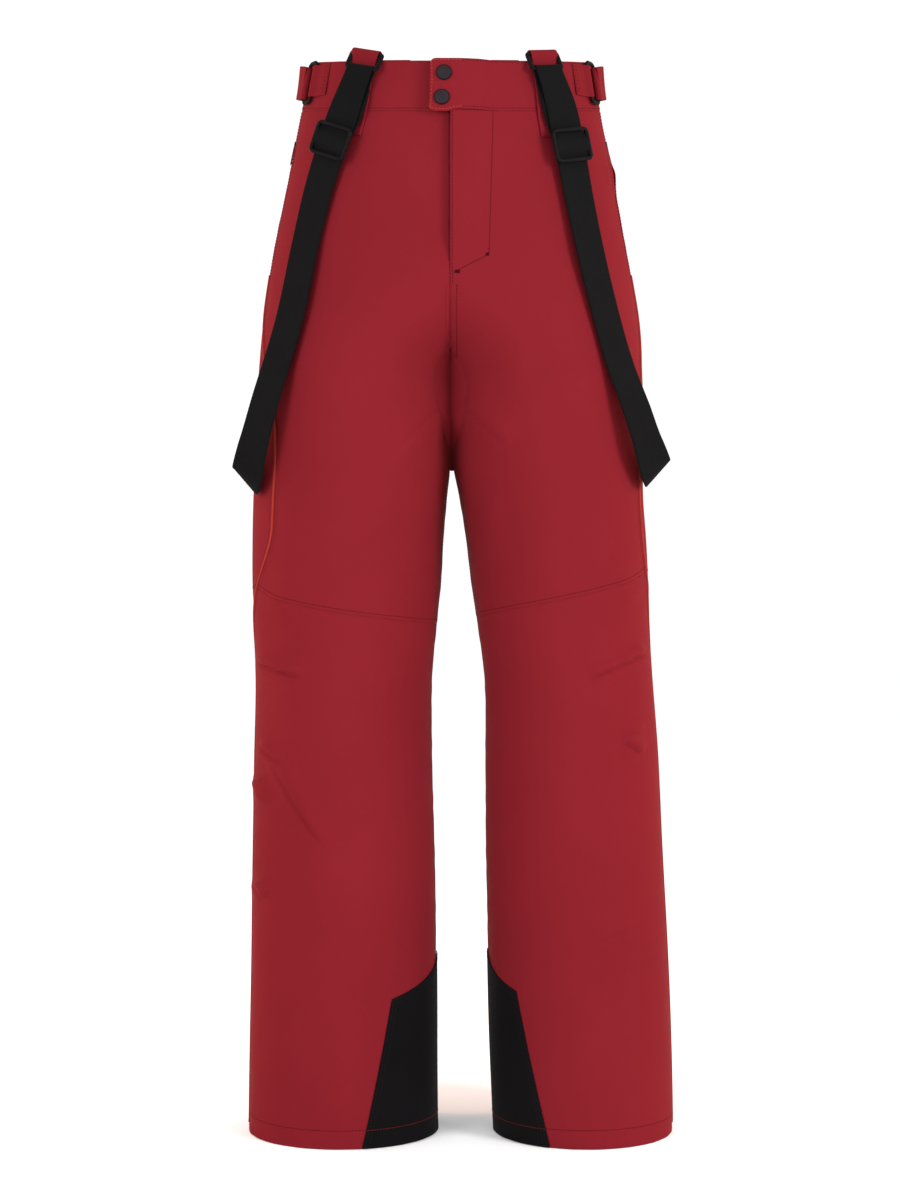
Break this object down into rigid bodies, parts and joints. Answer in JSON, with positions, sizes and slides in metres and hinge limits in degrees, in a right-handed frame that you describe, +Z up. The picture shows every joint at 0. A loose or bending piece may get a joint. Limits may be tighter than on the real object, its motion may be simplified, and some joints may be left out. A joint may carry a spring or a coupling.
{
  "type": "ski trousers",
  "caption": "Full-length insulated ski trousers with waistband, snapped and zipped fly, side adjusters, scuff patches and suspenders.",
  "frame": {"origin": "middle of the footprint, on the surface that the hems stand on", "axes": "+Z up along the legs, front towards -Y, wearer's left towards +X"},
  "size_m": [0.434, 0.2586, 1.0941],
  "materials": {
    "webbing_black": "woven webbing with a fine rib",
    "shell_red": "smooth plain-weave shell fabric with a slight sheen",
    "scuff_black": "hard-wearing black weave",
    "lining": "smooth dark lining",
    "tape_red": "folded and stitched shell fabric",
    "buckle_black": "moulded satin black",
    "zip_dark": "coil zip",
    "zip_metal": "dark painted zip slider",
    "snap_dark": "dark satin snap"
  },
  "bodies": {
    "trousers": {"adjuster_keeper_left": "tape_red", "adjuster_keeper_right": "tape_red", "adjuster_strap_left": "tape_red", "adjuster_strap_right": "tape_red", "belt_loop_back": "tape_red", "calf_left": "shell_red", "calf_right": "shell_red", "fly_underlap": "shell_red", "fly_zip_chain": "zip_dark", "front_shin_left": "shell_red", "front_shin_right": "shell_red", "front_thigh_left": "shell_red", "front_thigh_right": "shell_red", "gaiter_left": "lining", "gaiter_right": "lining", "kick_patch_left": "scuff_black", "kick_patch_right": "scuff_black", "lining_left": "lining", "lining_right": "lining", "pocket_zip_chain_left": "zip_dark", "pocket_zip_chain_right": "zip_dark", "seat_left": "shell_red", "seat_right": "shell_red", "snap_stud_lower": "snap_dark", "snap_stud_upper": "snap_dark", "suspender_end_back_left": "webbing_black", "suspender_end_back_right": "webbing_black", "suspender_end_front_left": "webbing_black", "suspender_end_front_right": "webbing_black", "suspender_loop_back_left": "tape_red", "suspender_loop_back_right": "tape_red", "suspender_loop_front_left": "tape_red", "suspender_loop_front_right": "tape_red", "suspender_ring_back_left": "buckle_black", "suspender_ring_back_right": "buckle_black", "suspender_ring_front_left": "buckle_black", "suspender_ring_front_right": "buckle_black", "waist_lining": "lining", "waistband_back": "shell_red", "waistband_front_left": "shell_red", "waistband_front_right": "shell_red"},
    "closure": {"fly_flap": "shell_red", "waist_tab": "shell_red", "snap_cap_upper": "snap_dark", "snap_cap_lower": "snap_dark"},
    "fly_slider": {"fly_zip_slider": "zip_metal"},
    "fly_puller": {"fly_zip_puller": "zip_metal"},
    "pocket_slider_right": {"pocket_slider_right": "zip_metal"},
    "pocket_puller_right": {"pocket_puller_right": "zip_metal"},
    "adjuster_ring_right": {"adjuster_ring_right": "buckle_black"},
    "adjuster_tail_right": {"adjuster_tail_right": "tape_red"},
    "suspender_right": {"suspender_strap_right": "webbing_black"},
    "tri_glide_right": {"suspender_slider_right": "buckle_black"},
    "pocket_slider_left": {"pocket_slider_left": "zip_metal"},
    "pocket_puller_left": {"pocket_puller_left": "zip_metal"},
    "adjuster_ring_left": {"adjuster_ring_left": "buckle_black"},
    "adjuster_tail_left": {"adjuster_tail_left": "tape_red"},
    "suspender_left": {"suspender_strap_left": "webbing_black"},
    "tri_glide_left": {"suspender_slider_left": "buckle_black"}
  },
  "joints": [
    {"name": "closure_open", "type": "hinge", "parent": "trousers", "child": "closure", "pos_m": [0.03808, -0.11123, 1.03821], "axis": [0.0318, 0.0584, 0.9978], "range_deg": [0, 110]},
    {"name": "fly_zip_slide", "type": "slide", "parent": "trousers", "child": "fly_slider", "axis": [0, -0.0512, -0.9987], "range_m": [0, 0.115]},
    {"name": "fly_puller_lift", "type": "hinge", "parent": "fly_slider", "child": "fly_puller", "pos_m": [0.00996, -0.11739, 0.9786], "axis": [-1, 0, 0], "range_deg": [0, 3]},
    {"name": "pocket_zip_slide_right", "type": "slide", "parent": "trousers", "child": "pocket_slider_right", "axis": [-0.1912, -0.0071, -0.9815], "range_m": [0, 0.1]},
    {"name": "pocket_puller_lift_right", "type": "hinge", "parent": "pocket_slider_right", "child": "pocket_puller_right", "pos_m": [-0.16153, -0.02376, 0.98397], "axis": [-0.1975, 0.9798, 0.0314], "range_deg": [0, 70]},
    {"name": "adjuster_ring_turn_right", "type": "hinge", "parent": "trousers", "child": "adjuster_ring_right", "pos_m": [-0.14108, -0.05332, 1.03673], "axis": [0.1722, 0.0845, 0.9814], "range_deg": [-4, 4]},
    {"name": "adjuster_tail_peel_right", "type": "hinge", "parent": "trousers", "child": "adjuster_tail_right", "pos_m": [-0.15384, -0.03296, 1.04013], "axis": [0.2037, 0.0145, 0.9789], "range_deg": [0, 110]},
    {"name": "suspender_swing_right", "type": "hinge", "parent": "trousers", "child": "suspender_right", "pos_m": [-0.08948, -0.10197, 1.03752], "axis": [0.1295, 0.9759, 0.1759], "range_deg": [0, 40]},
    {"name": "tri_glide_slide_right", "type": "slide", "parent": "suspender_right", "child": "tri_glide_right", "axis": [-0.3248, 0.144, -0.9348], "range_m": [-0.006, 0.04]},
    {"name": "pocket_zip_slide_left", "type": "slide", "parent": "trousers", "child": "pocket_slider_left", "axis": [0.1837, -0.0071, -0.983], "range_m": [0, 0.1]},
    {"name": "pocket_puller_lift_left", "type": "hinge", "parent": "pocket_slider_left", "child": "pocket_puller_left", "pos_m": [0.15394, -0.02377, 0.98393], "axis": [-0.2008, -0.9792, -0.0304], "range_deg": [0, 70]},
    {"name": "adjuster_ring_turn_left", "type": "hinge", "parent": "trousers", "child": "adjuster_ring_left", "pos_m": [0.13464, -0.05335, 1.03656], "axis": [-0.1473, 0.0737, 0.9863], "range_deg": [-4, 4]},
    {"name": "adjuster_tail_peel_left", "type": "hinge", "parent": "trousers", "child": "adjuster_tail_left", "pos_m": [0.14755, -0.03302, 1.03991], "axis": [0.18, -0.0149, -0.9835], "range_deg": [0, 110]},
    {"name": "suspender_swing_left", "type": "hinge", "parent": "trousers", "child": "suspender_left", "pos_m": [0.0886, -0.09834, 1.03813], "axis": [0.166, -0.9705, -0.1752], "range_deg": [0, 40]},
    {"name": "tri_glide_slide_left", "type": "slide", "parent": "suspender_left", "child": "tri_glide_left", "axis": [0.1833, 0.0433, -0.9821], "range_m": [-0.006, 0.04]}
  ]
}
